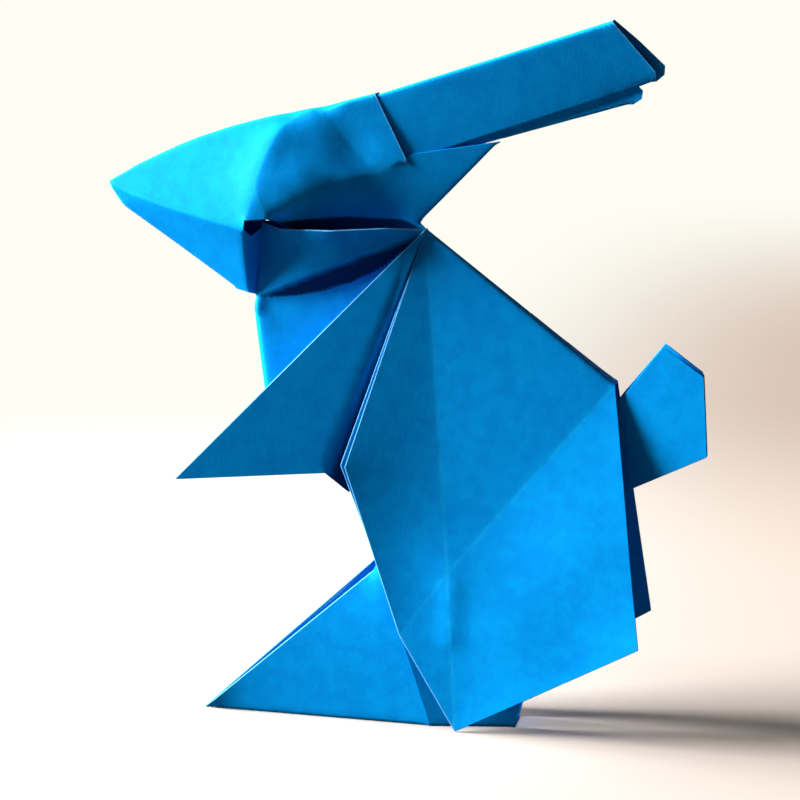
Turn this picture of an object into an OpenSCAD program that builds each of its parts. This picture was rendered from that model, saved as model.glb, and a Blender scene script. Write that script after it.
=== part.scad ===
// Rabbit folded from one square sheet of paper.
// +X points to the tail, the nose is at -X, +Z is up and the fold line of symmetry lies in Y = 0.
// Every corner is first placed in that mid plane by a length and a bearing, then moved out sideways.
// A bearing is in degrees, 0 towards the tail and 90 straight up. The creases radiate from the nape.

/* [Sheet] */
// Thickness of the folded paper: two plies of 0.1 mm pressed together
ply = 0.2; // [0.16:0.02:0.3]
// Colour of the sheet
sheet_colour = "#0a8fe6"; // ["#0a8fe6", "#1f7fd0", "#d23b3b", "#3aa655"]

/* [Body] */
// Height of the nape, where most creases meet, above the table
nape_height = 74.8; // [70:0.5:80]
// Length of the back, from the nape to the rump
back_len = 36.2; // [32:0.1:40]
// Bearing of the back
back_bearing = -38.4; // [-42:0.1:-34]
// Length of the rear edge of the flank, from the rump down
rump_len = 37.7; // [34:0.1:41]
// Bearing of the rear edge of the flank
rump_bearing = -82.7; // [-86:0.1:-79]
// Length of the front edge of the flank, from the nape to the elbow corner
front_len = 35.8; // [32:0.1:39]
// Bearing of the front edge of the flank
front_bearing = -106.9; // [-110:0.1:-104]
// Distance from the nape to the crossing of the two flank creases
cross_len = 50.6; // [47:0.1:54]
// Bearing of the crossing of the two flank creases, seen from the nape
cross_bearing = -85; // [-88:0.1:-82]
// Distance from the crossing to the point where its crease reaches the front edge
hip_len = 12; // [9:0.1:15]
// Bearing of that crease
hip_bearing = -126; // [-130:1:-122]
// Distance of the flank's standing corner behind the nape, along the table
stand_reach = 5.6; // [3:0.1:9]

/* [Body spread] */
// Half width of the body at the nape
nape_out = 1; // [0.6:0.1:1.6]
// Half width at the rump
rump_out = 0.5; // [0.3:0.1:1]
// Half width at the rear lower corner of the flank
seat_out = 12.5; // [9:0.5:15]
// Half width at the standing corner of the flank
stand_out = 7; // [6:0.5:10]
// Half width at the elbow corner of the flank
elbow_out = 9.5; // [8.6:0.1:12]
// Half width at the crossing of the flank creases
cross_out = 8.5; // [7:0.1:10]
// Half width where the crossing crease reaches the front edge
hip_out = 8; // [7:0.1:10]

/* [Belly and foot] */
// Distance of the toe in front of the nape, along the table
toe_reach = 34.5; // [31:0.1:38]
// Length of the foot's bottom edge, from the toe to where the flank covers it
foot_len = 36; // [33:0.1:38]
// Length of the whole folded bottom edge, from the toe to the heel
sole_len = 48.5; // [44:0.1:52]
// Length of the belly's front edge, from the nape down
belly_len = 36.4; // [33:0.1:39]
// Bearing of the belly's front edge
belly_bearing = -108.5; // [-111:0.1:-106]
// Length of the belly's lower front edge, down to the instep
shin_len = 16; // [13:0.1:19]
// Bearing of the belly's lower front edge
shin_bearing = -71.3; // [-76:0.1:-66]
// Half width of the belly at its front corner
belly_out = 7.5; // [6:0.1:8.2]
// Half width at the instep
instep_out = 5; // [3.5:0.1:6]
// Half width of the foot where the flank covers it
foot_out = 4.5; // [3:0.1:5.5]
// Half width at the heel
heel_out = 3; // [2:0.1:4.5]
// Half width of the belly behind the crossing of the flank creases
belly_mid_out = 5; // [4:0.1:6.5]

/* [Tail] */
// Distance of the tail's upper root from the rump
tail_drop = 1.9; // [1:0.1:4]
// Height of the tail's front edge
tail_root_len = 14.2; // [12:0.1:16]
// Length of the tail's rising edge
tail_rise_len = 9.8; // [8:0.1:12]
// Bearing of the tail's rising edge
tail_rise_bearing = 50.8; // [45:0.1:56]
// Length of the tail's blunt top edge
tail_top_len = 7.3; // [6:0.1:9]
// Bearing of the tail's blunt top edge
tail_top_bearing = -36; // [-42:1:-30]
// Length of the tail's rear edge
tail_rear_len = 11.7; // [10:0.1:13]
// Bearing of the tail's rear edge
tail_rear_bearing = -86.5; // [-92:0.5:-82]
// Length of the hidden root that runs in between the flanks
tail_hidden_len = 9.8; // [8:0.1:12]
// Half width of the tail at its top
tail_out = 1.6; // [0.6:0.1:3]
// Half width of the tail at its lower front corner
tail_low_out = 3.6; // [2:0.1:5]

/* [Arms] */
// Length of the arm, from the nape to the paw
arm_len = 50.9; // [46:0.1:55]
// Bearing of the arm's upper edge
arm_bearing = -134.3; // [-138:0.1:-131]
// Length of the arm's rear edge, from the nape to its elbow
arm_rear_len = 38; // [34:0.1:40]
// Bearing of the arm's rear edge
arm_rear_bearing = -111.1; // [-114:0.1:-110.5]
// Half width between the arms at the nape
arm_root_out = 2.4; // [1.6:0.1:3]
// Half width between the arms at the paws
paw_out = 12; // [9:0.5:15]
// Half width between the arms at their elbows
arm_elbow_out = 10.5; // [9:0.1:13]
// How far the arm's inner ply stands inside the outer one at the elbow
arm_gape = 1.8; // [1:0.1:3]

/* [Chest] */
// Length of the collar, the upper edge of the chest
collar_len = 24.7; // [22:0.1:27]
// Bearing of the collar
collar_bearing = 178.6; // [176:0.1:181]
// Length of the breast's upper front edge, from the collar to the valley crease
breast_len = 11.6; // [9:0.1:14]
// Bearing of the upper front edge
breast_bearing = -97.3; // [-101:0.1:-93]
// Length of the chest's lower front edge, from the valley crease down
bib_len = 17.2; // [14:0.1:20]
// Bearing of the lower front edge
bib_bearing = -83.8; // [-88:0.1:-80]
// Length of the chest's slanting bottom edge
bib_hem_len = 17.4; // [15:0.1:19]
// Bearing of the slanting bottom edge
bib_hem_bearing = -40.4; // [-45:0.1:-36]
// Half width of the collar where it bulges most
collar_out = 5.5; // [4:0.1:7]
// Half width at the rear end of the bottom edge
bib_out = 4.5; // [3:0.1:6]

/* [Head] */
// Distance from the nape to the brow, where the snout meets the hood
brow_len = 26; // [24:0.1:28]
// Bearing of the brow, seen from the nape
brow_bearing = 137.2; // [134:0.1:140]
// Length of the snout's top, from the brow to the nose
snout_len = 31.4; // [28:0.1:34]
// Bearing of the snout's top
snout_bearing = -158.9; // [-162:0.1:-156]
// How far the top of the snout arches above its straight line
snout_arch = 1.5; // [0.5:0.1:2.5]
// Length of the blunt nose
nose_len = 4.1; // [2:0.1:6]
// Bearing of the blunt nose
nose_bearing = -56.6; // [-65:1:-48]
// Length of the jaw, from the nose to the chin
jaw_len = 22.6; // [20:0.1:25]
// Bearing of the jaw
jaw_bearing = -34.1; // [-37:0.1:-31]
// Distance from the brow to the cheek
cheek_len = 16.7; // [15:0.1:19]
// Bearing of the cheek, seen from the brow
cheek_bearing = -111.2; // [-114:0.1:-108]
// How far the ridge from brow to cheek bows towards the nose
ridge_bow = 1.7; // [0.5:0.1:3]
// Half width of the head at the cheeks
cheek_out = 11; // [8:0.5:13]
// Length of the hood's top edge
hood_top_len = 12.2; // [10:0.1:14]
// Bearing of the hood's top edge
hood_top_bearing = 13.6; // [10:0.1:17]
// Length of the hood's rear edge
hood_rear_len = 11.6; // [10:0.1:13]
// Bearing of the hood's rear edge
hood_rear_bearing = -60.3; // [-64:0.1:-57]
// Length of the hood's lower edge, behind its bend
hood_low_len = 11.5; // [9:0.1:13]
// Bearing of the hood's lower edge
hood_low_bearing = -165.4; // [-169:0.1:-162]
// Half width where the ridge from brow to cheek bows most
ridge_out = 7; // [5.5:0.1:8]
// Half width at the hood's upper rear corner
hood_top_out = 2.8; // [2:0.1:4]
// Half width at the hood's lower rear corner
hood_rear_out = 7; // [6.6:0.1:9]
// Half width at the bend in the hood's lower edge
hood_low_out = 9.5; // [8:0.1:11]

/* [Ears] */
// How far the ear's root lies hidden under the hood
ear_hidden = 3.9; // [2:0.1:6]
// Length of the ear's top edge
ear_top_len = 40.4; // [36:0.1:44]
// Bearing of the ear's top edge
ear_top_bearing = 16.2; // [13:0.1:19]
// Width of the ear at its root
ear_root_w = 12; // [10.5:0.1:12.5]
// Bearing across the ear's root
ear_root_bearing = -58.4; // [-62:0.1:-55]
// Length of the ear's lower edge
ear_low_len = 40.9; // [37:0.1:44]
// Bearing of the ear's lower edge
ear_low_bearing = 18.7; // [16:0.1:21]
// How far the ear's top edge lies below the hood's
ear_tuck = 0.9; // [0.6:0.1:1.5]
// Half width between the ears at the root's lower corner
ear_root_low_out = 2.8; // [2:0.1:4]
// Half width between the ears at their top corners
ear_tip_out = 2.3; // [2:0.1:6]
// Half width between the ears at their lower tips
ear_tip_low_out = 3.6; // [3:0.1:6]
// How far the ear's open mouth gapes at the tip
ear_gape = 1.6; // [1:0.1:2.5]
// How far the inner ply reaches past the outer one at the tip
ear_inner_past = 2.4; // [1:0.1:4]
// How many degrees the far ear hangs below the near one
far_ear_droop = 3; // [0:0.1:6]
// How much shorter the far ear is
far_ear_trim = 3.5; // [0:0.1:5]

/* [Neck] */
// Distance from the nape to the neck's back edge at the collar
neck_gap = 1.3; // [0.8:0.1:2.5]
// Bearing of the neck's foot, seen from the nape
neck_foot_bearing = 135; // [120:1:150]
// Length of the neck's back edge, up to the ears
neck_len = 17; // [15:0.1:19]
// Bearing of the neck's back edge
neck_bearing = 45.7; // [43:0.1:48]
// Half width of the neck where it comes out from under the hood
neck_out = 1.8; // [1:0.1:2]
// How far that point lies above the hood's lower rear corner
neck_tuck = 1.2; // [0.8:0.1:2]
// How deep the neck reaches into the collar
neck_depth = 12.8; // [10:0.1:15]

/* [Hidden] */

bead_sides = 6; // sides of the small bead that rounds each fold and edge
bead_r = ply / 2;
knot_sides = 10; // sides of the knot of crumpled plies at the nape
knot_d = 3 * ply; // size of that knot
collar_sag = 0.6; // how far the slack collar hangs below its straight line
collar_share = 0.72; // where the collar bulges most, from the nape to its front
throat_share = 0.75; // where the throat fold lies, from the chin to the collar
ridge_share = 0.4; // where the ridge bows most, from the brow to the cheek
belly_share = 0.03; // where the belly's creases meet, from the flank's crossing to the nape
inner_share = 0.8; // where the ear's inner ply ends, from the top of the tip to its bottom
tail_root_turn = 20; // degrees that the tail's root turns out from the flank's rear edge
tail_root_lean = -3; // degrees that the tail's front edge leans from the flank's rear edge
tail_inside_turn = -177; // degrees from the tail's rising edge to its hidden root
neck_inside_bearing = 186; // bearing of the neck's end inside the collar
neck_inside_out = 1.5; // half width there

// A point of the mid plane, at a length and a bearing from another one
function along(from, len, bearing) = from + len * [cos(bearing), sin(bearing)];

// A point at a share of the way between two others
function between(a, b, share) = a + share * (b - a);

// A point of the mid plane moved out to the near side by half a width
function out(p, half_width) = [p.x, -half_width, p.y];

// The same corner on the far side
function far(corner) = [corner.x, -corner.y, corner.z];

// Corners of the body in the mid plane
nape = [0, nape_height];
rump = along(nape, back_len, back_bearing);
seat = along(rump, rump_len, rump_bearing);
stand = [stand_reach, 0];
elbow = along(nape, front_len, front_bearing);
cross_point = along(nape, cross_len, cross_bearing);
hip = along(cross_point, hip_len, hip_bearing);

// Corners of the belly and the foot
toe = [-toe_reach, 0];
foot_rear = toe + [foot_len, 0];
heel = toe + [sole_len, 0];
belly = along(nape, belly_len, belly_bearing);
instep = along(belly, shin_len, shin_bearing);

// Corners of the tail
tail_top_root = along(rump, tail_drop, rump_bearing + tail_root_turn);
tail_low_root = along(tail_top_root, tail_root_len, rump_bearing + tail_root_lean);
tail_peak = along(tail_top_root, tail_rise_len, tail_rise_bearing);
tail_shoulder = along(tail_peak, tail_top_len, tail_top_bearing);
tail_end = along(tail_shoulder, tail_rear_len, tail_rear_bearing);
tail_inside = along(tail_top_root, tail_hidden_len, tail_rise_bearing + tail_inside_turn);

// Corners of the arm
paw = along(nape, arm_len, arm_bearing);
arm_elbow = along(nape, arm_rear_len, arm_rear_bearing);

// Corners of the chest
collar_front = along(nape, collar_len, collar_bearing);
collar_mid = between(nape, collar_front, collar_share) - [0, collar_sag];
breast = along(collar_front, breast_len, breast_bearing);
bib = along(breast, bib_len, bib_bearing);
bib_rear = along(bib, bib_hem_len, bib_hem_bearing);

// Corners of the head
brow = along(nape, brow_len, brow_bearing);
nose = along(brow, snout_len, snout_bearing);
snout_mid = between(nose, brow, 1 / 2) + snout_arch * [cos(snout_bearing - 90), sin(snout_bearing - 90)];
lip = along(nose, nose_len, nose_bearing);
chin = along(lip, jaw_len, jaw_bearing);
cheek = along(brow, cheek_len, cheek_bearing);
ridge = between(brow, cheek, ridge_share) + ridge_bow * [cos(cheek_bearing - 90), sin(cheek_bearing - 90)];
hood_top = along(brow, hood_top_len, hood_top_bearing);
hood_rear = along(hood_top, hood_rear_len, hood_rear_bearing);
hood_low = along(hood_rear, hood_low_len, hood_low_bearing);
throat = between(chin, collar_front, throat_share);

// Corners of the neck
neck_foot = along(nape, neck_gap, neck_foot_bearing);
neck_top = along(neck_foot, neck_len, neck_bearing);
neck_inside = along(nape, neck_depth, neck_inside_bearing);
neck_rear = hood_rear + [0, neck_tuck];

// The lowest and the furthest corners set where the origin lies
corners = [nape, rump, seat, stand, toe, heel, tail_shoulder, tail_end, paw, nose, lip, chin];
middle_x = (min([for (c = corners) c.x]) + max([for (c = corners) c.x])) / 2;

// The round of a fold or an edge; one of its corners points down
module bead(corner) translate(corner) rotate([90, 180 / bead_sides, 0]) sphere(r = bead_r, $fn = bead_sides);

// A flat or gently bent panel of paper, from a fan of triangles with rounded edges
module panel(corners)
    for (i = [1 : len(corners) - 2])
        hull() for (k = [0, i, i + 1]) bead(corners[k]);

// Outer layer of the flank: two creases cross in it, and its front edge is free
module flank() {
    cross_corner = out(cross_point, cross_out);
    low = out(stand, stand_out);
    panel([cross_corner, low, out(hip, hip_out), out(elbow, elbow_out), out(nape, nape_out),
           out(rump, rump_out), out(seat, seat_out), low]);
}

// Inner layer: the belly, whose lower corner is folded in half into the foot
module belly_and_foot() {
    middle = out(between(cross_point, nape, belly_share), belly_mid_out);
    top = out(nape, nape_out / 2);
    front = out(belly, belly_out);
    ankle = out(instep, instep_out);
    foot_corner = out(foot_rear, foot_out);
    panel([middle, top, front, ankle, foot_corner, out(heel, heel_out), out(rump, rump_out / 2), top]);
    panel([ankle, out(toe, 0), foot_corner]);
}

// The bottom fold of the foot, opened flat where the layers part
module sole() {
    toe_tip = out(toe, 0);
    side = out(foot_rear, foot_out);
    rear = out(heel, heel_out);
    panel([toe_tip, side, far(side)]);
    panel([side, rear, far(rear), far(side)]);
}

// The fold along the back joins both flanks
module spine() {
    front = out(nape, nape_out);
    rear = out(rump, rump_out);
    panel([front, rear, far(rear), far(front)]);
}

// One of the two layers of the tail, which runs in between the flanks
module tail_half() {
    top_root = out(tail_top_root, tail_out);
    panel([top_root, out(tail_peak, tail_out), out(tail_shoulder, tail_out), out(tail_end, tail_out),
           out(tail_low_root, tail_low_out), out(tail_inside, tail_low_out / 2)]);
}

// An arm: two plies joined along the upper fold
module arm() {
    hand = out(paw, paw_out);
    root = out(nape, arm_root_out);
    panel([root, hand, out(arm_elbow, arm_elbow_out)]);
    panel([root, hand, out(arm_elbow, arm_elbow_out - arm_gape)]);
}

// Chest: a slack collar above, a valley crease from the breast to the nape, and the bib below
module chest_half() {
    root = out(nape, nape_out / 2);
    fold = out(breast, 0);
    panel([fold, out(collar_front, 0), out(collar_mid, collar_out), root]);
    panel([root, fold, out(bib, 0), out(bib_rear, bib_out)]);
}

// Snout: an upper and a lower panel that meet along the whisker line, and a throat panel behind
module snout_half() {
    side = out(cheek, cheek_out);
    panel([side, out(nose, 0), out(snout_mid, 0), out(brow, 0), out(ridge, ridge_out)]);
    panel([side, out(nose, 0), out(lip, 0), out(chin, 0), out(throat, 0)]);
}

// Hood: the side of the head, down to its soft lower fold
module hood_half() {
    side = out(cheek, cheek_out);
    panel([out(hood_low, hood_low_out), side, out(ridge, ridge_out), out(brow, 0),
           out(hood_top, hood_top_out), out(hood_rear, hood_rear_out)]);
    panel([out(brow, 0), out(hood_top, hood_top_out), far(out(hood_top, hood_top_out))]);
}

// Neck: folds in under the hood and runs down into the collar
module neck_half() {
    deep = out(neck_inside, neck_inside_out);
    low = out(hood_low, hood_low_out);
    rear = out(neck_rear, neck_out);
    panel([deep, out(cheek, cheek_out), low, rear,
           out(neck_top, 0), out(neck_foot, 0), out(nape, nape_out / 2)]);
    panel([low, out(hood_rear, hood_rear_out), rear]);
}

// Ear: a long pocket, folded at the bottom and open at the tip
module ear(trim, droop) {
    root = between(hood_top, brow, ear_hidden / hood_top_len) - [0, ear_tuck];
    tip_top = along(root, ear_top_len - trim, ear_top_bearing - droop);
    root_low = along(root, ear_root_w, ear_root_bearing - droop);
    tip_low = along(root_low, ear_low_len - trim, ear_low_bearing - droop);
    inner_tip = along(between(tip_top, tip_low, inner_share), ear_inner_past, ear_top_bearing - droop);
    fold = out(root_low, ear_root_low_out);
    panel([out(root, 0), out(tip_top, ear_tip_out), out(tip_low, ear_tip_low_out), fold]);
    panel([out(root, 0), out(tip_top, ear_tip_out - ear_gape), out(inner_tip, ear_tip_out - ear_gape),
           out(tip_low, ear_tip_low_out), fold]);
    panel([out(brow, 0), out(root, 0), fold]);
}

// All layers are pressed together at the nape
module knot() {
    side = out(nape, arm_root_out);
    hull() for (corner = [side, far(side)]) translate(corner) sphere(d = knot_d, $fn = knot_sides);
}

module half() {
    flank();
    belly_and_foot();
    tail_half();
    arm();
    chest_half();
    snout_half();
    hood_half();
    neck_half();
    knot();
}

module folded_sheet()
    color(sheet_colour)
        translate([-middle_x, 0, bead_r]) {
            half();
            mirror([0, 1, 0]) half();
            spine();
            sole();
            ear(0, 0);
            mirror([0, 1, 0]) ear(far_ear_trim, far_ear_droop);
        }

folded_sheet();
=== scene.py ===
# %% [markdown]
# # A rabbit folded from one square of blue paper
#
# The real thing is a single sheet of solid-blue craft paper. Every panel of it is nearly flat, every edge
# is a crease or a cut, and what makes it look real is small: the soft round of a crease, the pale line
# where its fibres are worn, the raw edge of a ply, and the slight bow of a panel.
# This lesson rebuilds the sheet from the corners of its crease pattern and finishes it as paper.

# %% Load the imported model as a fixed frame
import math

import bpy
import numpy as np
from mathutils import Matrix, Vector, geometry


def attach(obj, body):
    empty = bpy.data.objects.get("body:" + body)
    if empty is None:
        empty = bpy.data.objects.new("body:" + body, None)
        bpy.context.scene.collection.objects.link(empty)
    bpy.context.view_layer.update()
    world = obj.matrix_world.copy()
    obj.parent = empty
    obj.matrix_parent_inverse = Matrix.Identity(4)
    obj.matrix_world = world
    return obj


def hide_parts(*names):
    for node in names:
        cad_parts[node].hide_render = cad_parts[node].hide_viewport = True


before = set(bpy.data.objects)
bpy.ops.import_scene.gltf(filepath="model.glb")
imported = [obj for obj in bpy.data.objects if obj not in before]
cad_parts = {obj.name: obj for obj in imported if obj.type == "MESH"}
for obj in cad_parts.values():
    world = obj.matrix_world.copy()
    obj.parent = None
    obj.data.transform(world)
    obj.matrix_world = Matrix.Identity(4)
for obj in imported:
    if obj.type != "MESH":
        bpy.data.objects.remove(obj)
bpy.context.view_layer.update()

# %% [markdown]
# ## Corners first
#
# A folded model is fully given by its corners. They are placed in the plane of symmetry by a length and
# a bearing from the corner before, as one would with a ruler and a protractor on a side view:
# bearing 0 points to the tail and 90 straight up. Then each corner is moved out sideways by half of the
# body's width there. The near side of the rabbit is the side of negative Y. Lengths are in millimetres.

# %% Placing points by length and bearing
def along(start, length, bearing):
    """The point at a length and a bearing in degrees from another one, in the plane of symmetry."""
    angle = math.radians(bearing)
    return np.array(start) + length * np.array([math.cos(angle), math.sin(angle)])


def between(start, end, share):
    """The point at a share of the way from start to end."""
    return start + share * (end - start)


def apart(start, end):
    """How far apart two points of the side view lie, in millimetres, for printing."""
    return round(float(np.linalg.norm(end - start)), 1)


NAPE_HEIGHT = 74.8
nape = np.array([0.0, NAPE_HEIGHT])
print("the nape, where all layers meet, is", NAPE_HEIGHT, "mm above the table")

# %% [markdown]
# The body hangs from the nape. The flanks spread over the crossing of two old creases, the belly is the
# layer between them, and its lower end is drawn forward into one long foot. The corners could be typed
# as plain coordinates, but a length and a bearing say how each fold lies, and one crease can be turned
# or lengthened while those that hang on it follow.

# %% Corners of the body, the foot and the tail
rump = along(nape, 36.2, -38.1)
seat = along(rump, 37.7, -82.7)
stand = np.array([5.6, 0.0])
elbow = along(nape, 36.4, -107.3)
crossing = along(nape, 50.5, -84.9)
hip = along(crossing, 12.5, -125.8)

TOE_REACH = 34.5
FLAT_LENGTH, SOLE_LENGTH = 36, 48.5
toe = np.array([-TOE_REACH, 0.0])
foot_rear = toe + [FLAT_LENGTH, 0]
heel = toe + [SOLE_LENGTH, 0]
belly = along(nape, 36.4, -108.5)
instep = along(belly, 16, -71.3)
near_toe = along(toe, 2.3, 40)
near_instep = along(near_toe, 33.8, 41)
far_instep = along(toe, 34, 41.9)

tail_root = along(rump, 2, -60)
tail_fold = along(rump, 2.1, -26.3)
tail_peak = along(rump, 9.3, 40)
tail_shoulder = along(rump, 13.2, 8)
tail_end = along(rump, 17, -35.9)
tail_fold_low = along(rump, 15.7, -80.6)
tail_low = along(rump, 16.2, -84.3)
tail_inside = along(tail_root, 9.8, -126.2)
print("back", apart(nape, rump), "mm, rear edge", apart(rump, seat), "mm, sole", apart(toe, heel), "mm")

# %% [markdown]
# An arm is a long triangle from the nape to the pointed paw. The chest is the layer between the two
# arms. It starts with a slack collar, turns inward along a valley crease, and ends in a narrow bib.

# %% Corners of the arms and the chest
paw = along(nape, 51.4, -134.4)
arm_elbow = along(nape, 38.5, -111.4)

collar_front = along(nape, 24.6, 178.3)
collar_lip = along(nape, 21.2, 179.7)
collar_mid = along(nape, 13.2, 179)
collar_rear = along(nape, 5.5, 175)
crop = along(nape, 25.9, -170.3)
breast = along(nape, 28.4, -157.8)
fold_pull = along(nape, 15.5, -159.4)
valley_pull = along(nape, 13.7, -128.1)
bib_bend = along(nape, 30.3, -148.7)
bib = along(nape, 36.8, -131.5)
bib_rear = along(bib, 17.4, -40.4)
print("arm", apart(nape, paw), "mm, collar", apart(nape, collar_front), "mm, chest", apart(breast, bib), "mm")

# %% [markdown]
# The head is hung from the brow, the highest crease above the cheek. In front of it the snout closes
# to a point, behind it the hood covers the root of the ears, and the neck is the layer that shows
# between the hood's lower rim and the collar.

# %% Corners of the head, the ears and the neck
brow = along(nape, 25.5, 137.3)
nose = along(brow, 31.8, -159.9)
lip = along(nose, 4.3, -57)
jowl = along(lip, 21.3, -34.9)
chin = along(jowl, 2.2, -12)
cheek = along(brow, 17.1, -114.3)
jaw = along(cheek, 1.4, -99.8)
gusset = along(cheek, 4.8, 75.4)
hood_top = along(brow, 11.7, 13.2)
hood_rear = along(hood_top, 11.2, -64.3)
hood_bend = along(hood_rear, 4.6, -164.2)
hood_low = along(hood_rear, 10.8, -166.8)
hood_front = along(cheek, 3.2, 3.7)
hood_dip = along(brow, 3.9, 9.2)
hood_fold = along(brow, 5.9, -67.9)
hood_hollow = along(brow, 9.9, -36.4)
throat_mid = along(cheek, 2.6, -79.5)
throat_top = along(cheek, 2, -60.1)
throat_low = along(cheek, 11.9, -90.1)

neck_foot = along(nape, 1.3, 135)
neck_top = along(neck_foot, 17, 45.7)
neck_rear = along(nape, 3.6, 152)
neck_mid = along(nape, 12, 170)
neck_left = along(nape, 21.4, 175.8)
neck_inside = along(nape, 12.8, 186)
neck_front = along(nape, 19, 181)
print("snout", apart(nose, brow), "mm, hood", apart(brow, hood_top), "by", apart(hood_top, hood_rear), "mm")

# %% [markdown]
# The frame's origin is the middle of the rabbit on the table, so the side view is moved there: the nape
# lies a little behind that middle. The sheet is two plies pressed together, and the middle of its
# thickness lies half of that above the table.

# %% Moving the side view into the frame
PLY = 0.2
NAPE_X = 3.158


def side(point, half_width):
    """A corner of the near side, in the frame, in millimetres. Below 0 it is on the far side."""
    return np.array([point[0] + NAPE_X, -half_width, point[1] + PLY / 2])


def far(points):
    """The same points on the far side."""
    return np.asarray(points) * [1, -1, 1]


def curve(start, pull, end, count=6):
    """Points from start to end on a soft bend that is pulled towards a third point."""
    share = np.linspace(0, 1, count + 1)[:, None]
    return list((1 - share) ** 2 * start + 2 * share * (1 - share) * pull + share ** 2 * end)


def loop(*parts):
    """One outline out of corners and bends, each point once."""
    points = [np.asarray(p) for part in parts for p in (part if isinstance(part, list) else [part])]
    return [p for p, after in zip(points, points[1:] + points[:1]) if np.abs(p - after).max() > 1e-6]


print("nape at", side(nape, 1).round(2), "toe at", side(toe, 0).round(2))

# %% [markdown]
# ## From a panel to a fine mesh
#
# A panel of paper could be one big polygon, but then it could not bow, and its creases would be razor
# sharp. So each panel is filled with small even triangles: its edges are divided first, so that
# neighbours share the same points, extra rows of points run along each edge, where the crease will be
# rounded, and a hexagonal grid fills the rest. Blender's constrained Delaunay routine joins them.
# A panel whose corners don't lie in one plane takes its form from mean value coordinates, which stay
# straight along every edge and are smooth in between, as a slightly twisted sheet is.

# %% Dividing an edge
ROWS = (0.14, 0.4)  # millimetres from an edge to its two extra rows of points
ROW_MARGIN = 0.97  # share of its distance that a row's point has to keep from every edge
RIM_STEP = 0.8  # millimetres between the points of an edge


def divide(start, end, step):
    """Points from start up to, but without, end. Both directions give the very same points."""
    count = max(1, math.ceil(np.linalg.norm(end - start) / step - 1e-6))
    shares = np.linspace(0, 1, count + 1)[:, None]
    if tuple(start) > tuple(end):
        return (end + shares * (start - end))[:0:-1]
    return (start + shares * (end - start))[:-1]


print("the back edge is divided into", len(divide(side(nape, 0), side(rump, 0), RIM_STEP)), "steps")

# %% Measuring in the plane of a panel
def to_segments(points, starts, ends):
    """Distance of every point to the nearest of several segments."""
    best = np.full(len(points), np.inf)
    for a, b in zip(starts, ends):
        line = b - a
        share = np.clip((points - a) @ line / (line @ line), 0, 1)
        best = np.minimum(best, np.linalg.norm(points - a - share[:, None] * line, axis=1))
    return best


def inside(points, polygon):
    """True for the points that lie in a polygon of the plane."""
    result = np.zeros(len(points), bool)
    for a, b in zip(polygon, np.roll(polygon, -1, axis=0)):
        crosses = (a[1] > points[:, 1]) != (b[1] > points[:, 1])
        rise = np.where(b[1] == a[1], 1, b[1] - a[1])
        result ^= crosses & (points[:, 0] < (b[0] - a[0]) * (points[:, 1] - a[1]) / rise + a[0])
    return result


# %% Spreading the height of the corners over a twisted panel
TINY = 1e-9


def mean_value(points, polygon, values):
    """Values of a polygon's corners spread smoothly over the points inside it."""
    d = polygon[None] - points[:, None]
    r = np.linalg.norm(d, axis=2)
    after = np.roll(d, -1, axis=1)
    cross = d[..., 0] * after[..., 1] - d[..., 1] * after[..., 0]
    cross = np.where(abs(cross) < TINY, TINY, cross)
    tangent = (r * np.roll(r, -1, axis=1) - (d * after).sum(2)) / cross
    weight = (tangent + np.roll(tangent, 1, axis=1)) / r
    return (weight[..., None] * values).sum(1) / weight.sum(1)[:, None]


# %% The plane, the rows and the grid of a panel
def lay_flat(corners, outward):
    """The corners in an order that looks outward, their centre, normal and the two axes of their plane."""
    centre = corners.mean(0)
    normal = np.cross(corners - centre, np.roll(corners, -1, axis=0) - centre).sum(0)
    if normal @ np.asarray(outward) < 0:
        corners, normal = corners[::-1], -normal
    normal /= np.linalg.norm(normal)
    u = corners[1] - corners[0]
    u -= (u @ normal) * normal
    u /= np.linalg.norm(u)
    return corners, centre, normal, np.array([u, np.cross(normal, u)])


def edge_rows(flat, ends):
    """Rows of points close to the edges, each point between two points of its edge."""
    rows = []
    for row in ROWS:
        for a, b in zip(flat, ends):
            line = (b - a) / np.linalg.norm(b - a)
            across = np.array([-line[1], line[0]])
            points = divide(a, b, RIM_STEP) + line * RIM_STEP / 2 + across * row
            rows.append(points[inside(points, flat) & (to_segments(points, flat, ends) > row * ROW_MARGIN)])
    return rows


def hexagons(flat, step):
    """A grid of points over a panel in which every point has six neighbours."""
    low, high = flat.min(0), flat.max(0)
    xs, ys = np.arange(low[0], high[0], step), np.arange(low[1], high[1], step * math.sqrt(0.75))
    grid = np.stack(np.meshgrid(xs, ys), -1)
    grid[1::2, :, 0] += step / 2
    return grid.reshape(-1, 2)


# %% Filling one panel
GRID_MARGIN = 0.45  # share of a step that the grid keeps from the last row
SAME_POINT = 1e-7


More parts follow.
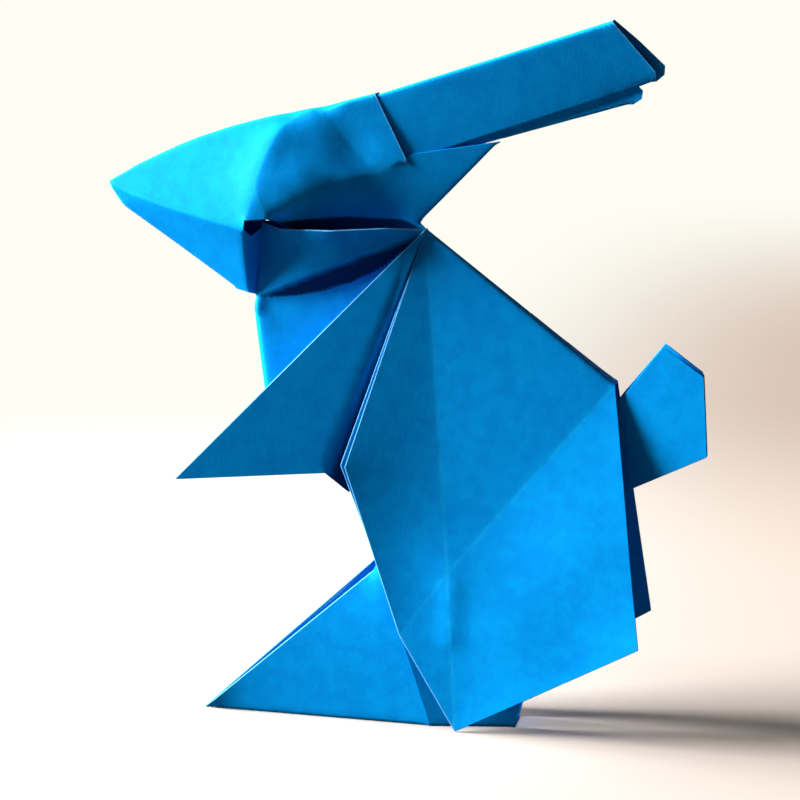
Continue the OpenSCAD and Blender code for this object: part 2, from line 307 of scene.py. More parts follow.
def fill(corners, outward, step):
    """Points and triangles of one panel, with a grid of this step. Its faces look outward."""
    corners, centre, normal, plane = lay_flat(np.asarray(corners, float), outward)
    flat = (corners - centre) @ plane.T
    height = (corners - centre) @ normal
    ends, flat_ends = np.roll(corners, -1, axis=0), np.roll(flat, -1, axis=0)
    rim = np.concatenate([divide(a, b, RIM_STEP) for a, b in zip(corners, ends)])
    rim_flat = (rim - centre) @ plane.T
    grid = hexagons(flat, step)
    clear = to_segments(grid, flat, flat_ends) > ROWS[-1] + step * GRID_MARGIN
    inner = np.concatenate([*edge_rows(flat, flat_ends), grid[inside(grid, flat) & clear]])
    raised = mean_value(inner, flat, height[:, None]) if len(inner) else np.zeros((0, 1))
    points = np.concatenate([rim, centre + inner @ plane + raised * normal])
    flat_all = [Vector(point) for point in np.concatenate([rim_flat, inner])]
    result = geometry.delaunay_2d_cdt(flat_all, [], [list(range(len(rim)))], 1, SAME_POINT)
    faces, origins = result[2], [ids[0] for ids in result[3]]
    return points, np.array([[origins[k] for k in face] for face in faces])


trial = fill([side(nape, 0.5), side(crossing, 7.4), side(rump, 2.2)], (0, -1, 0), RIM_STEP)
print("the upper panel of a flank takes", len(trial[0]), "points and", len(trial[1]), "triangles")

# %% [markdown]
# Panels that share a crease are welded into one surface. The near side is made first, mirrored, and
# joined with the panels that cross the plane of symmetry, such as the fold along the back.
#
# The surface also keeps notes for later: which of its lines are raw edges, old creases or very round
# ones, where it is pressed in, and how deep each point lies in a pocket. On the real rabbit almost no
# light leaves a narrow pocket. Here some bounced light does, so its paper gets painted shade that
# grows with depth.

# %% Welding panels into a surface
WELD = 4  # decimals of a millimetre at which two points count as one


def fold_key(a, b):
    """The same name for a fold from either end and to either panel."""
    return tuple(sorted([tuple(a.round(3) + 0.0), tuple(b.round(3) + 0.0)]))


class Surface:
    """A single layer of paper: its points, triangles, creases and free edges."""

    def __init__(self):
        self.points, self.triangles, self.panels = np.zeros((0, 3)), np.zeros((0, 3), int), []
        self.deep = np.zeros(0)
        self.cuts, self.scores, self.dents, self.rounds, self.unworn = [], [], [], [], set()

    def add(self, points, triangles, deep):
        """Adds the mesh of one panel, with how deep in a pocket its points lie, from 0 to 1."""
        self.triangles = np.concatenate([self.triangles, triangles + len(self.points)])
        self.points = np.concatenate([self.points, points])
        self.deep = np.concatenate([self.deep, deep])

    def panel(self, corners, outward=(0, -1, 0), step=RIM_STEP, both=True, mouth=None, reach=1.0):
        """Adds a panel and, for both sides, its mirror image.

        A panel in a pocket has a mouth, the line over which light gets in, and light reaches this far.
        """
        corners = np.asarray(corners, float)
        points, triangles = fill(corners, outward, step)
        deep = np.zeros(len(points))
        if mouth is not None:
            # Painted shade: the paper darkens with its distance from the mouth, fully at the reach.
            deep = np.minimum(to_segments(points, mouth[:-1], mouth[1:]) / reach, 1)
        self.add(points, triangles, deep)
        self.panels.append(corners)
        if both:
            self.add(far(points), triangles[:, ::-1], deep)
            self.panels.append(far(corners))
        return self

    def cut(self, line):
        """Notes a line of points, and its mirror image, as the raw edge of a ply."""
        self.cuts += [pair for row in (line, list(far(line))) for pair in zip(row[:-1], row[1:])]

    def score(self, start, end):
        """Notes a flattened old crease, which only leaves a pale line."""
        self.scores += [(start, end), (far(start), far(end))]

    def press(self, start, end, radius, push):
        """Notes a soft dent, or a soft ridge, between two points of the side view."""
        self.dents.append((side(start, 0)[[0, 2]], side(end, 0)[[0, 2]], radius, push))

    def round_off(self, line, passes, reach, worn=True):
        """Notes a crease that is rounder than the others, and whether its fibres are worn pale."""
        pairs = [pair for row in (line, list(far(line))) for pair in zip(row[:-1], row[1:])]
        self.rounds.append((pairs, passes, reach))
        if not worn:
            self.unworn |= {fold_key(a, b) for a, b in pairs}

    def weld(self):
        """Makes one point of those that coincide. It counts as the least deep of them."""
        _, first, inverse = np.unique(self.points.round(WELD), axis=0, return_index=True, return_inverse=True)
        inverse = inverse.reshape(-1)
        self.points, self.triangles = self.points[first], inverse[self.triangles]
        deep, self.deep = self.deep, np.ones(len(first))
        np.minimum.at(self.deep, inverse, deep)

    def edges(self):
        """Every edge as a pair of points, with how many triangles meet there."""
        pairs = np.concatenate([self.triangles[:, ends] for ends in ([0, 1], [1, 2], [2, 0])])
        return pairs, np.unique(np.sort(pairs, axis=1), axis=0, return_inverse=True, return_counts=True)

    def borders(self):
        """Directed edges that only one triangle has: the free edges of the paper."""
        pairs, (_, inverse, counts) = self.edges()
        return pairs[counts[inverse.reshape(-1)] == 1]

    def normals(self):
        """The direction in which the paper's front looks at each point."""
        a, b, c = (self.points[self.triangles[:, k]] for k in range(3))
        face = np.cross(b - a, c - a)
        normals = np.zeros_like(self.points)
        for k in range(3):
            np.add.at(normals, self.triangles[:, k], face)
        return normals / np.maximum(np.linalg.norm(normals, axis=1), 1e-12)[:, None]

    def fold_lines(self):
        """Starts and ends of the panel edges: all creases, the free edges, and the worn creases."""
        count = {}
        for corners in self.panels:
            for a, b in zip(corners, np.roll(corners, -1, axis=0)):
                key = fold_key(a, b)
                count[key] = count.get(key, 0) + 1
        creases = np.array([key for key, n in count.items() if n > 1])
        worn = np.array([key for key, n in count.items() if n > 1 and key not in self.unworn])
        free = np.array([key for key, n in count.items() if n == 1])
        return creases.reshape(-1, 2, 3), free.reshape(-1, 2, 3), worn.reshape(-1, 2, 3)


print("points closer together than", 10 ** -WELD, "mm are welded")


# %% [markdown]
# ## Softening and thickness
#
# A crease in paper is a tight round, not a line. A few passes of averaging each point with its
# neighbours, only close to the creases, round it off. Then the whole surface gets the slight bows and
# dents of handled paper, and at last its thickness: one skin on each side and a round rim in between.
# A bevel and a solidify modifier could do the same, but a bevel is equally wide along a crease and
# folds over itself where creases meet, while averaging fades out softly there.

# %% Rounding the creases
FAR_AWAY = 9.0  # millimetres that stand for a line that isn't there, or is too far to matter
AVERAGING = 0.6


def to_lines(points, pairs):
    """Distance of each point to the nearest of some lines."""
    if not len(pairs):
        return np.full(len(points), FAR_AWAY)
    return np.minimum(to_segments(points, *np.array(pairs).transpose(1, 0, 2)), FAR_AWAY)


def soften(surface, creases, passes, reach):
    """Averages the points near some creases with their neighbours. Free edges stay."""
    _, (unique, _, _) = surface.edges()
    both = np.concatenate([unique, unique[:, ::-1]])
    degree = np.bincount(both[:, 0], minlength=len(surface.points))[:, None]
    weight = AVERAGING * np.exp(-(to_lines(surface.points, creases) / reach) ** 2)
    weight[np.unique(surface.borders())] = 0
    for _ in range(passes):
        total = np.zeros_like(surface.points)
        np.add.at(total, both[:, 0], surface.points[both[:, 1]])
        surface.points += weight[:, None] * (total / degree - surface.points)


# %% Bowing the panels
WAVES = 6
HELD_RIM = 2.5  # millimetres of a free edge that the bows leave straight


def wave(points, length, seed):
    """A smooth random wave between -1 and 1 with a typical length, the same on each run."""
    draw = np.random.default_rng(seed)
    total = np.zeros(len(points))
    for _ in range(WAVES):
        direction = draw.normal(size=3)
        direction *= 2 * math.pi / length / np.linalg.norm(direction) * draw.uniform(0.7, 1.3)
        total += np.sin(points @ direction + draw.uniform(0, 2 * math.pi))
    return total / WAVES


def bow(surface, depth, length, seed):
    """Moves the points along their normals by a wave and by the dents of the surface."""
    _, free, _ = surface.fold_lines()
    hold = 1 - np.exp(-(to_lines(surface.points, free) / HELD_RIM) ** 2)
    shift = depth * wave(surface.points, length, seed) * hold
    for start, end, radius, push in surface.dents:
        away = to_segments(surface.points[:, [0, 2]], [start], [end + 1e-6])
        outer = np.abs(surface.normals()[:, 1]) > 0.5  # only panels that look to a side
        shift += push * np.exp(-(away / radius) ** 2) * outer
    surface.points += shift[:, None] * surface.normals()


# %% Giving the paper its thickness
RIM_BULGE = 0.35  # how far the rim stands out, as a share of the thickness


def thicken(surface, thickness):
    """Points, triangles, quads and sharp rim edges of the closed sheet."""
    normals = surface.normals()
    points, count = surface.points, len(surface.points)
    borders = surface.borders()
    on_border, slot_of = np.unique(borders, return_inverse=True)
    slot_of = slot_of.reshape(-1, 2)
    direction = points[borders[:, 1]] - points[borders[:, 0]]
    direction /= np.linalg.norm(direction, axis=1)[:, None]
    away = np.zeros((len(on_border), 3))
    for k in range(2):
        np.add.at(away, slot_of[:, k], np.cross(direction, normals[borders[:, k]]))
    away /= np.maximum(np.linalg.norm(away, axis=1), 1e-9)[:, None]
    front = points + normals * thickness / 2
    back = points - normals * thickness / 2
    round_rim = points[on_border] + away * thickness * RIM_BULGE
    everything = np.concatenate([front, back, round_rim])
    triangles = np.concatenate([surface.triangles, surface.triangles[:, ::-1] + count])
    a, b = borders[:, 0], borders[:, 1]
    ra, rb = slot_of[:, 0] + 2 * count, slot_of[:, 1] + 2 * count
    quads = np.concatenate([np.stack([b, a, ra, rb], 1), np.stack([rb, ra, a + count, b + count], 1)])
    sharp = np.concatenate([borders, borders + count])
    return everything, triangles, quads, sharp


# %% [markdown]
# The paper's finish needs to know where its lines are: worn fibres along a crease, and at a raw edge a
# pale line that is partly cut fibres and partly a painted highlight. A texture could be painted for
# that, but here each point of the mesh simply carries its distance to the nearest such line as an
# attribute, and the shader reads it. It is measured before the creases are rounded, so the marks stay
# sharp.

# %% Turning a surface into a Blender object
def build(name, surface, passes=3, reach=0.5, depth=0.1, length=24, seed=1):
    """Welds, rounds, bows and thickens a surface, marks its lines, and makes it a piece of the sheet."""
    surface.weld()
    creases, _, worn = surface.fold_lines()
    marks = {label: to_lines(surface.points, lines) for label, lines in
             (("crease_mm", worn), ("cut_mm", surface.cuts), ("score_mm", surface.scores))}
    marks["deep"] = surface.deep
    soften(surface, creases, passes, reach)
    for line, more_passes, far_reach in surface.rounds:
        soften(surface, line, more_passes, far_reach)
    bow(surface, depth, length, seed)
    points, triangles, quads, sharp = thicken(surface, PLY)
    mesh = bpy.data.meshes.new(name)
    mesh.from_pydata((points / 1000).tolist(), [], triangles.tolist() + quads.tolist())
    mesh.validate()
    on_rim = np.unique(surface.borders())
    for label, values in marks.items():
        layer = mesh.attributes.new(label, "FLOAT", "POINT")
        layer.data.foreach_set("value", np.concatenate([values, values, values[on_rim]]).astype(np.float32))
    keys = set(map(tuple, np.sort(sharp, axis=1).tolist()))
    ends = np.zeros(len(mesh.edges) * 2, int)
    mesh.edges.foreach_get("vertices", ends)
    ends = np.sort(ends.reshape(-1, 2), axis=1)
    flags = np.array([tuple(pair) in keys for pair in ends.tolist()])
    mesh.attributes.new("sharp_edge", "BOOLEAN", "EDGE").data.foreach_set("value", flags)
    mesh.polygons.foreach_set("use_smooth", np.ones(len(mesh.polygons), bool))
    piece = bpy.data.objects.new(name, mesh)
    bpy.context.scene.collection.objects.link(piece)
    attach(piece, "root")
    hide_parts("folded_sheet")
    print(name, len(mesh.vertices), "points,", len(mesh.polygons), "faces")
    return piece


# %% [markdown]
# ## The body
#
# Each flank has three panels and a front strip round one crossing of creases, and a narrow fold along
# the back joins the two. The crossing looks like two old folds that were opened again: the panels there
# meet at a very small angle, and what shows is a change of tone and a worn line. A soft ridge is pressed
# out below the crossing, and the panel over the seat is pushed out a little. The front edge is raw, so
# it is drawn as a pale line, partly cut fibres and partly a painted highlight. One flat panel for the
# whole flank would lose all of this.

# %% Flanks
flank_low, flank_cross, flank_hip = side(stand, 7), side(crossing, 7.4), side(hip, 6.8)
flank_nape, flank_rump, flank_elbow = side(nape, 0.5), side(rump, 2.2), side(elbow, 8.1)
flanks = Surface()
flanks.panel([flank_nape, flank_elbow, flank_hip, flank_cross])
flanks.panel([flank_nape, flank_cross, flank_rump])
flanks.panel([flank_rump, flank_cross, flank_low, side(seat, 12)])
flanks.panel([flank_cross, flank_hip, flank_low])
flanks.panel([flank_nape, flank_rump, far(flank_rump), far(flank_nape)], (0, 0, 1), both=False)
flanks.cut([flank_nape, flank_elbow, flank_hip, flank_low])
score_top = along(crossing, 9.6, -89)
flanks.press(along(crossing, 2.7, -75.7), along(crossing, 10, -87.9), 1.8, 0.25)
flanks.press(along(seat, 18, 170), along(seat, 16, 130), 9, 1.0)
flanks.score(side(score_top, 7.5), flank_low)
pieces = [build("flanks", flanks, passes=4, reach=0.6, seed=3)]

# %% [markdown]
# The belly is the layer between the flanks, and its lower end is folded in half into the long foot,
# whose bottom fold is opened flat so that the rabbit can stand. Little of the belly shows, so it gets a
# coarser grid. The foot is a separate mesh only because its two sides aren't mirror images: the upper
# edge of the near layer lies a little lower, so the far one shows as a thin second edge above it.

# %% Belly and foot
belly_nape, belly_rump = side(nape, 0.3), side(rump, 0.6)
ankle, foot_side, foot_heel = side(instep, 5.6), side(foot_rear, 4.5), side(heel, 3)
belly_front = side(belly, 7.6)
belly_ply = Surface()
belly_ply.panel([belly_nape, belly_front, ankle, foot_side, foot_heel, belly_rump], step=1.2)
belly_ply.panel([foot_side, foot_heel, far(foot_heel), far(foot_side)], (0, 0, -1), both=False)
belly_ply.cut([belly_nape, belly_front, ankle])
pieces.append(build("belly", belly_ply, seed=5))

foot = Surface()
tip, near_tip = side(toe, 0), side(near_toe, 1.2)
near_top, far_top = side(near_instep, 4.5), side(far_instep, -4.5)
foot.panel([tip, foot_side, ankle, near_top, near_tip], both=False)
foot.panel([tip, far(foot_side), far(ankle), far_top], (0, 1, 0), both=False)
foot.panel([tip, foot_side, far(foot_side)], (0, 0, -1), both=False)
foot.cut([near_top, near_tip, tip, far_top])
foot.score(side(along(toe, 4.6, 41.6), 1.4), side(along(toe, 35, 22.7), 5.4))
pieces.append(build("foot", foot, seed=6))

# %% [markdown]
# The tail is a blunt flap that stands out between the flanks. It has two plies. The near one has a fold
# close to the body, and the far one stands out a little beyond it at the top. Each ply is its own mesh,
# because they lie beside each other and share no crease that shows.

# %% Tail
SMALL_BOW = 0.08  # millimetres, for the narrower pieces
near_root, near_end, near_low = side(tail_root, 1.5), side(tail_end, 3.7), side(tail_low, 1.6)
fold_top, fold_low = side(tail_fold, 1.9), side(tail_fold_low, 1.9)
tail = Surface()
tail.panel([fold_top, side(tail_peak, 2.7), side(tail_shoulder, 3.5), near_end, fold_low], both=False)
tail.panel([near_root, fold_top, fold_low, near_low], both=False)
tail.panel([near_root, near_low, side(tail_inside, 1)], both=False)
pieces.append(build("tail_near_ply", tail, depth=SMALL_BOW, seed=7))

tail = Surface()
tail.panel([side(tail_root, -0.9), side(tail_peak + [0.2, 0.3], 1.2), side(tail_shoulder + [-0.3, 0.6], 2.3),
            side(tail_shoulder, 2.3), side(tail_end, 2.6), side(tail_low, -0.9), side(tail_inside, -0.9)],
           both=False)
pieces.append(build("tail_far_ply", tail, depth=SMALL_BOW, seed=8))

# %% [markdown]
# ## Arms and chest
#
# An arm is two plies that lie together at the nape and the paw and gape a little at the elbow, so both
# edges show there. Behind it the outer ply turns inward, and between that return and the flank is a
# narrow gap, dark with shade and with painted shade on the return. The second edge could be drawn as a
# line, but two meshes that lie a fraction of a millimetre apart at the elbow show it by themselves, and
# from every side.

# %% Arms
arm_root, hand = side(nape, 1.2), side(paw, 11)
arm_tuck = side(along(nape, 1.2, -112), 0.2)
arm_return = side(along(nape, 40.7, -105.5), 4.5)
for label, elbow_side in (("outer", 7.1), ("inner", 6.3)):
    arm_corner = side(arm_elbow, elbow_side)
    arm = Surface().panel([arm_root, hand, arm_corner])
    arm.cut([arm_root, hand])
    if label == "outer":
        rear_fold = [arm_root, arm_corner]
        # The return gets painted shade, darker from the rear fold inwards.
        arm.panel([*rear_fold, arm_return, arm_tuck], (1, -1, 0), mouth=rear_fold, reach=1.6)
        arm.round_off(rear_fold, 12, 0.9, worn=False)
    pieces.append(build(f"arms_{label}_ply", arm, depth=SMALL_BOW, seed=11))

# %% [markdown]
# The chest is one slack layer, so its folds are bends rather than straight creases. It starts with the
# open collar, turns inward below it into a deep pocket, and comes out again at a valley crease from the
# breast to the nape. Both bends are quadratic curves that leave the nape together: two curves with
# shared ends are the simplest outline of such a pocket. Its roof gets painted shade, darker from the
# mouth inwards.

# %% Chest
chest_root, chest_front = side(nape, 0.5), side(breast, 0)
fold_line = curve(chest_root, side(fold_pull, 5.5), chest_front)
valley_line = curve(chest_root, side(valley_pull, 0.2), chest_front)
collar_line = [side(collar_front, 0.8), side(collar_lip, 4.2), side(collar_mid, 6.5), side(collar_rear, 4.2)]
chest = Surface()
chest.panel(loop(chest_front, side(crop, 0), collar_line, fold_line))
# The pocket's roof gets painted shade, darker from the fold line inwards.
chest.panel(loop(fold_line, valley_line[-2:0:-1]), (0, -1, -1), mouth=fold_line)
chest_in, bib_in = side(breast + [0.7, -0.5], 0.8), side(bib + [0.7, 0.2], 1)
chest.panel(loop(valley_line, chest_in, bib_in, side(bib_rear, 2.4)))
chest.panel([chest_front, side(bib_bend, 0), side(bib, 0), bib_in, chest_in])
chest.cut(collar_line + [chest_root])
chest.press(along(breast, 1.2, 20), along(breast, 2, -60), 0.6, 0.3)
pieces.append(build("chest", chest, passes=8, reach=1.0, seed=13))

# %% [markdown]
# ## The head
#
# The head is the part with the most folds. The snout is a pair of bowed panels on each side, and a
# narrow top panel bridges it. The ridge from the brow to the cheek is a soft, wide bend, with a small
# gusset below it. Behind the ridge the hood bends twice, once towards its lower rim and once towards
# its rear corner. The real paper has no line there, only a change of tone, so those inner creases are
# rounded very widely and their fibres aren't worn. The neck hangs from inside the hood down to the nape,
# and from its lower line a strip sinks behind the collar, which closes the view into the body.
# One flat panel for each of these would show sharp facets, and a subdivision surface would round off
# the straight outlines as well. Bowed edge lines with flat panels between them keep both.

# %% Snout, hood and neck
head_nose, head_brow = side(nose, 0), side(brow, 1.5)
head_cheek, head_jaw, head_gusset = side(cheek, 7.8), side(jaw, 7.5), side(gusset, 7)
head_chin, head_throat = side(chin, 0.9), side(throat_low, 0)
top_line = curve(head_nose, side(along(between(nose, brow, 0.5), 2.9, 111), 0.4), head_brow)
ridge_line = curve(head_brow, side(along(between(brow, gusset, 0.25), 2.6, 160), 4.1), head_gusset)
snout_crease = curve(head_nose, side(along(nose, 5.5, -27), 2.5), head_jaw)
hood_line = [side(hood_front, 7.4), side(hood_low, 4.6), side(hood_bend, 1.8)]
hood_edge, hood_corner = side(hood_rear, 1.3), side(hood_top, 1.6)
hood_crest, hood_bulge, hood_deep = side(hood_dip, 1.9), side(hood_fold, 3.3), side(hood_hollow, 0.9)
neck_edge = side(hood_rear + [0, 1.2], 0.9)
neck_line = [side(nape, 0.3), side(neck_rear, 0.3), side(neck_mid, 1.3), side(neck_left, 4.5)]
head = Surface()
head.panel(loop(top_line, ridge_line, head_cheek, snout_crease[::-1]))
head.panel(loop(snout_crease, head_chin, side(jowl, 0), side(lip, 0)))
head.panel(loop(head_jaw, head_chin, head_throat, side(throat_top, 0), side(throat_mid, 5.8)), (1, -1, 0))
head.panel([head_gusset, head_cheek, hood_line[0]], (1, -1, 0))
head.panel(loop(ridge_line[1:], hood_line[:2], hood_bulge))
head.panel([head_brow, hood_crest, hood_deep, *hood_line[:0:-1], hood_bulge, ridge_line[1]])
head.panel([hood_crest, hood_corner, hood_edge, hood_line[2], hood_deep])
head.panel(loop(neck_line, hood_line, neck_edge, side(neck_top, 0), side(neck_foot, 0)))
# The strip that sinks behind the collar gets painted shade, nearly black 0.3 mm below the neck line.
head.panel(loop(neck_line, hood_line[0], side(neck_front, 1), side(neck_inside, 0.2)), (0, -1, -1),
           mouth=neck_line, reach=0.3)
head.panel([hood_line[-1], hood_edge, neck_edge], (0, 0, -1))
hood_ridge = [head_brow, hood_crest, hood_corner]
head.panel([*hood_ridge, *far(hood_ridge[::-1])], (0, 0, 1), both=False)
head.panel(loop(top_line, list(far(top_line[:0:-1]))), (0, 0, 1), both=False)
head.cut([hood_corner, hood_edge])
head.round_off(ridge_line + [head_cheek], 10, 0.9)
head.round_off(hood_line + [hood_edge], 8, 0.8)
head.round_off([ridge_line[1], hood_bulge, hood_line[1]], 20, 1.6, worn=False)
head.round_off([hood_crest, hood_deep, hood_line[2]], 20, 1.6, worn=False)
head.press(along(brow, 10.9, -96.6), along(brow, 10.2, -90), 3.4, 0.6)
pieces.append(build("head", head, passes=3, reach=0.45, depth=SMALL_BOW, seed=17))

# %% [markdown]
# Each ear is a flattened tube with a fold along its top and its bottom, open at the tip, where both
# plies show. The far ear is the same tube on the other side, but it is a little shorter and hangs lower,
# so a thin strip of it shows below the near one. A function makes both, and it is given how much to
# shorten the ear, how much to lower it, and the mirror to hold it up to.

# %% Ears
EAR_SHARE, EAR_SINK = 0.32, 0.6  # where the root lies between the hood's corner and the brow, and below it
ear_root = between(hood_top, brow, EAR_SHARE) - [0, EAR_SINK]


def ear(label, trim, droop, turn):
    """One ear, shortened by trim in millimetres and lowered by droop in degrees."""
    def at(length, bearing, half_width):
        """A corner of this ear by its place on the near ear, from the root."""
        return turn(side(along(ear_root, length - trim, bearing - droop), half_width))

    root, inner_root = turn(side(ear_root, 1.3)), turn(side(ear_root, 0.3))
    fold_root = at(12 + trim, -46.8, 0.4)
    top, inner_top = at(40.4, 17.6, 2.4), at(40.5, 17.6, 0.8)
    tip, low, fold_mid = at(44.9, 6.6, 1.0), at(44.9, 4.7, 0.4), at(42, 3.5, 0.3)
    inner_top[2] += 0.2
    look = turn(np.array([0, -1, 0]))
    surface = Surface()
    surface.panel([root, top, tip, low, fold_mid, fold_root], look, both=False)
    surface.panel([inner_root, inner_top, at(43.2, 12.6, 0.2), at(46.3, 7.3, 0.2), at(46.1, 5.8, 0.25),
                   low, fold_mid, fold_root], -look, both=False)
    surface.panel([root, top, inner_top, inner_root], (0, 0, 1), both=False)
    surface.cut([top, tip, low])
    surface.score(at(37.2, 14.1, 1.7), at(43.1, 5.6, 0.6))
    pieces.append(build(f"{label}_ear", surface, depth=SMALL_BOW, seed=19))


ear("near", 0, 0, np.array)
ear("far", 3.5, 4.3, far)
print("the sheet is in", len(pieces), "pieces")

# %% [markdown]
# ## The finish
#
# The finish is a tree of nodes. Built by hand it would be dozens of calls and links, while its maths
# reads best as sums. So a small class wraps a socket and turns + - and * into Math nodes, also with the
# plain number first, and a second class adds any other node in one call.

# %% Writing shader maths as sums
class Wire:
    """A socket of a node tree that takes part in sums."""

    def __init__(self, finish, socket):
        self.finish, self.socket = finish, socket

    def _math(self, operation, first, second):
        return self.finish.node("ShaderNodeMath", {"operation": operation}, {0: first, 1: second})

    def __add__(self, other):
        return self._math("ADD", self, other)

    __radd__ = __add__

    def __sub__(self, other):
        return self._math("SUBTRACT", self, other)

    def __rsub__(self, other):
        return self._math("SUBTRACT", other, self)

    def __mul__(self, other):
        return self._math("MULTIPLY", self, other)

    __rmul__ = __mul__


class Finish:
    """A material, or a world, whose nodes are added one call at a time."""

    def __init__(self, owner):
        owner.use_nodes = True
        self.owner, self.tree = owner, owner.node_tree
        self.tree.nodes.clear()

    def node(self, kind, settings=None, sockets=None, output=0):
        """Adds a node, sets it up, fills its sockets with values or links, and returns one output."""
        node = self.tree.nodes.new(kind)
        for key, value in (settings or {}).items():
            setattr(node, key, value)
        for key, value in (sockets or {}).items():
            if isinstance(value, Wire):
                self.tree.links.new(value.socket, node.inputs[key])
            else:
                node.inputs[key].default_value = value
        return Wire(self, node.outputs[output]) if node.outputs else None

    def blend(self, share, first, second):
        """The first colour where the share is 0, and the second where it is 1."""
        return self.node("ShaderNodeMix", {"data_type": "RGBA"}, {0: share, 6: first, 7: second}, 2)

    def noise(self, place, scale, detail=3.0, roughness=0.5):
        """A cloudy pattern around 0.5. A larger scale is a finer one."""
        return self.node("ShaderNodeTexNoise", {}, {"Vector": place, "Scale": scale, "Detail": detail,
                                                    "Roughness": roughness})

    def seen(self):
        """1 where the camera looks at it, also through gloss or glass, and 0 where light bounces off it."""
        camera, glossy, through = (self.node("ShaderNodeLightPath", {}, {}, f"Is {kind} Ray")
                                   for kind in ("Camera", "Glossy", "Transmission"))
        return self.node("ShaderNodeMath", {"operation": "MAXIMUM"}, {0: camera, 1: glossy + through})

    def ramp(self, value, low, high, start=0.0, end=1.0):
        """Maps low..high smoothly to start..end."""
        settings = {"interpolation_type": "SMOOTHSTEP"}
        return self.node("ShaderNodeMapRange", settings, {0: value, 1: low, 2: high, 3: start, 4: end})


# %% [markdown]
# Craft paper is dyed through, dull, and never quite even: the pulp is a little cloudy and has fine
# fibres. Where it is creased its fibres break and look paler, in patches, as far as it was rubbed. A
# raw edge is the palest: its pale line is partly cut fibres and partly a painted highlight. All of this
# depends on the distance to a line, which the mesh carries, and on three noises in the object's own
# space, so the paper needs no texture coordinates. The gloss is kept very low, because a paper with
# more of it looks like plastic under a grazing light.
#
# The last blend is not a property of paper: it is painted shade, which darkens the depth of the
# pockets, as told above.

# %% Blue craft paper
paper = Finish(bpy.data.materials.new("blue_paper"))
place = paper.node("ShaderNodeTexCoord", {}, {}, "Object")


def mark(label):
    """What each point of the mesh carries under this name, such as a distance in millimetres."""
    return paper.node("ShaderNodeAttribute", {"attribute_name": label}, {}, "Fac")


def line_mask(label, full, gone):
    """1 within a first distance of a line, 0 beyond a second one."""
    return 1 - paper.ramp(mark(label), full, gone)


BLUE = (0.0, 0.34, 0.86, 1)
DEEP = (0.0, 0.28, 0.78, 1)
WORN = (0.01, 0.48, 0.97, 1)
RAW_AND_HIGHLIGHT = (0.16, 0.55, 0.95, 1)
PAINTED_SHADE_COLOUR = (0, 0.01, 0.06, 1)
CREASE_WEAR, SCORE_WEAR, CUT_WEAR_AND_HIGHLIGHT, PAINTED_POCKET_SHADE = 0.3, 0.5, 0.7, 0.92
mottle = paper.noise(place, 420, 4, 0.6)
cloud = paper.noise(place, 60, 3)
fibre = paper.noise(place, 2600, 3, 0.6)
rubbed = paper.ramp(paper.noise(place, 300), 0.35, 0.6, 0.3, 1)
colour = paper.blend(paper.ramp(mottle * 0.7 + cloud * 0.3, 0.35, 0.65), DEEP, BLUE)
colour = paper.blend(line_mask("crease_mm", 0.05, 0.4) * rubbed * CREASE_WEAR, colour, WORN)
colour = paper.blend(line_mask("score_mm", 0.04, 0.22) * rubbed * SCORE_WEAR, colour, WORN)
# A pale line along each raw edge: partly cut fibres, partly a painted highlight.
colour = paper.blend(line_mask("cut_mm", 0.03, 0.17) * CUT_WEAR_AND_HIGHLIGHT, colour, RAW_AND_HIGHLIGHT)
# Painted shade: paper deep in a pocket turns nearly black.
colour = paper.blend(mark("deep") * PAINTED_POCKET_SHADE, colour, PAINTED_SHADE_COLOUR)
bump = paper.node("ShaderNodeBump", {}, {"Strength": 0.25, "Distance": 0.0001, "Height": fibre + mottle})
shell = paper.node("ShaderNodeBsdfPrincipled", {}, {"Base Color": colour, "Roughness": 0.62, "Normal": bump,
                                                    "Specular IOR Level": 0.03})
paper.node("ShaderNodeOutputMaterial", {}, {"Surface": shell})
for piece in pieces:
    piece.data.materials.append(paper.owner)
print("the paper's finish has", len(paper.tree.nodes), "nodes")

# %% [markdown]
# ## The picture
#
# The camera looks at the near side from a little above and a little towards the tail, with a long lens,
# as one does for a small model. It is placed by two angles and a distance from the point that it aims
# at, which are easier to fit to a view than three coordinates and three turns.

# %% Camera
AIM = Vector((-0.756, 0, 49.095)) / 1000
AZIMUTH, ELEVATION, DISTANCE = math.radians(9.5), math.radians(10), 0.42
back = Vector((math.sin(AZIMUTH) * math.cos(ELEVATION), -math.cos(AZIMUTH) * math.cos(ELEVATION),
               math.sin(ELEVATION)))
camera = bpy.data.objects.new("camera", bpy.data.cameras.new("camera"))
camera.data.lens, camera.data.sensor_width = 126, 36
camera.data.clip_start, camera.data.clip_end = 0.01, 20
camera.location = AIM + back * DISTANCE
camera.rotation_mode = "QUATERNION"
camera.rotation_quaternion = back.to_track_quat("Z", "Y")
bpy.context.scene.collection.objects.link(camera)
bpy.context.scene.camera = camera

# %% [markdown]
# The rabbit stands on pale card that curves up into a wall, so no edge shows behind it. Near the rabbit
# the card is an ordinary surface, which takes its shadow. Further off it turns into a plain glow, so the
# background gets its tone from its own colour and not from more light on the rabbit. Only rays that
# look at it see that glow: for light that bounces off it the card is nearly black, which keeps the shade
# side of the folds deep. It is warmer towards the tail, on the right, and darker there with painted
# shade of a light that falls off on that side.

# %% Floor and wall in one sweep
def sweep():
    """A floor that curves up into a wall far behind the rabbit."""
    front, bend, radius, top, half_width = -2.5, 0.9, 0.6, 3.0, 4.0
    curved = [(bend + radius * math.sin(a), radius - radius * math.cos(a))
              for a in np.linspace(0, math.pi / 2, 17)]
    profile = [(front, 0.0)] + curved + [(bend + radius, top)]
    points = [(x, y, z) for x in (-half_width, half_width) for y, z in profile]
    count = len(profile)
    faces = [(i, i + count, i + count + 1, i + 1) for i in range(count - 1)]
    mesh = bpy.data.meshes.new("sweep")
    mesh.from_pydata(points, [], faces)
    mesh.polygons.foreach_set("use_smooth", [True] * len(faces))
    piece = bpy.data.objects.new("sweep", mesh)
    bpy.context.scene.collection.objects.link(piece)
    return piece


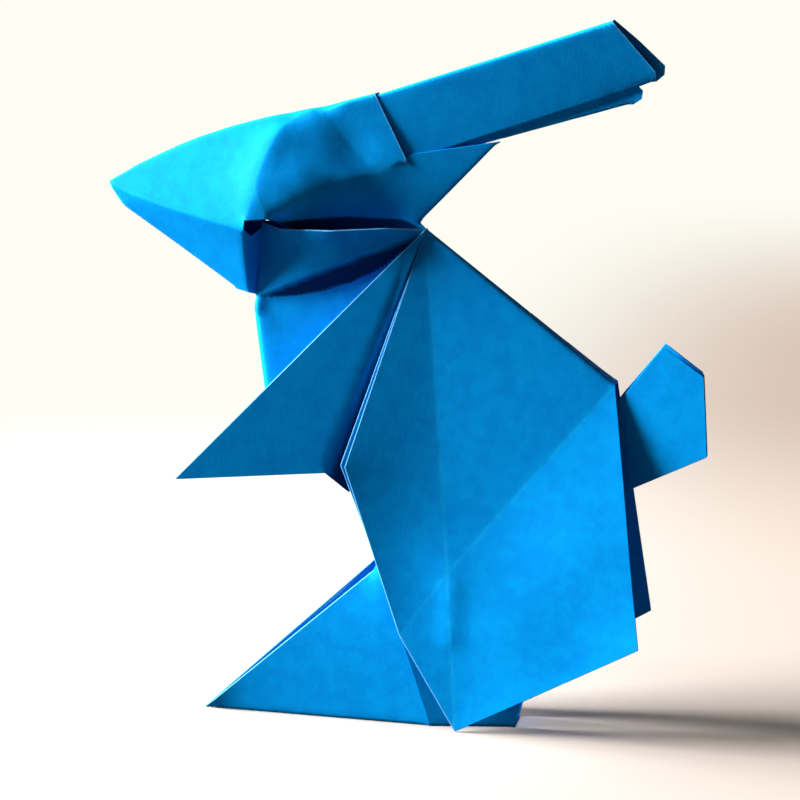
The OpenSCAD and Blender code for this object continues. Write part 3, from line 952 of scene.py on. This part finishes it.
# %% Pale card
CARD_COOL, CARD_WARM_SHADED = (0.57, 0.565, 0.53, 1), (0.50, 0.43, 0.38, 1)
GLOW_COOL, GLOW_WARM_SHADED = (0.99, 0.985, 0.90, 1), (0.70, 0.56, 0.48, 1)
UNSEEN = (0.06, 0.06, 0.06, 1)
card = Finish(bpy.data.materials.new("pale_card"))
spot = card.node("ShaderNodeTexCoord", {}, {}, "Object")
east = card.node("ShaderNodeSeparateXYZ", {}, {0: spot}, "X")
north = card.node("ShaderNodeSeparateXYZ", {}, {0: spot}, "Y")
distance = card.node("ShaderNodeVectorMath", {"operation": "LENGTH"}, {0: spot}, "Value")
seen = card.seen()
# Painted shade: warmer and darker towards the tail, on the right, less so far behind.
warm_and_shaded = card.ramp(east, -0.06, 0.06) * (1 - card.ramp(north, 0.35, 0.8))
tone = card.blend(warm_and_shaded, GLOW_COOL, GLOW_WARM_SHADED)
shown = card.blend(warm_and_shaded, CARD_COOL, CARD_WARM_SHADED)
matt = card.node("ShaderNodeBsdfPrincipled", {}, {"Base Color": card.blend(seen, UNSEEN, shown),
                                                  "Roughness": 0.9, "Specular IOR Level": 0.1})
glow = card.node("ShaderNodeEmission", {}, {"Color": tone, "Strength": 1.0})
far_off = card.ramp(distance, 0.10, 0.30)
mixed = card.node("ShaderNodeMixShader", {}, {0: far_off * seen, 1: matt, 2: glow})
card.node("ShaderNodeOutputMaterial", {}, {"Surface": mixed})
sweep().data.materials.append(card.owner)
print("the card's finish has", len(card.tree.nodes), "nodes")

# %% [markdown]
# The picture shows one large soft light from the nose side, a little above. It grazes the near side,
# which is why a tilt of a degree or two changes the tone of a panel so much, and why it takes a strong
# lamp to light that side. The faces that look straight at the lamp come out brighter than their colour.
# A sky all round would fill in the folds, so the room is nearly dark for the light that it sends, and
# pale only where it is looked at directly.

# %% Lamps
MIDDLE = Vector((0, 0, 0.05))


def lamp(name, direction, distance, size, level):
    """A soft rectangular lamp. Level 1 lights a white card that faces it to full white."""
    light = bpy.data.lights.new(name, "AREA")
    light.shape, light.size, light.size_y = "RECTANGLE", *size
    light.energy = level * math.pi ** 2 * distance ** 2
    item = bpy.data.objects.new(name, light)
    to_lamp = Vector(direction).normalized()
    item.location = MIDDLE + to_lamp * distance
    item.rotation_mode = "QUATERNION"
    item.rotation_quaternion = to_lamp.to_track_quat("Z", "Y")
    bpy.context.scene.collection.objects.link(item)
    print("lamp", name, "at", [round(v, 2) for v in item.location], "m, level", level)


lamp("window", (-0.88, -0.07, 0.42), 1.2, (0.8, 0.6), 5.6)

# %% Room
ROOM_BLUE, ROOM_PALE, FILL = (0.6, 0.78, 1.0, 1), (0.97, 0.96, 0.90, 1), 0.05
room = Finish(bpy.data.worlds.new("room"))
behind = room.seen()
tint = room.blend(behind, ROOM_BLUE, ROOM_PALE)
air = room.node("ShaderNodeBackground", {}, {"Color": tint, "Strength": FILL + (1 - FILL) * behind})
room.node("ShaderNodeOutputWorld", {}, {"Surface": air})
bpy.context.scene.world = room.owner
bpy.context.scene.view_settings.view_transform = "Standard"
print("the room fills in", FILL, "of full white")
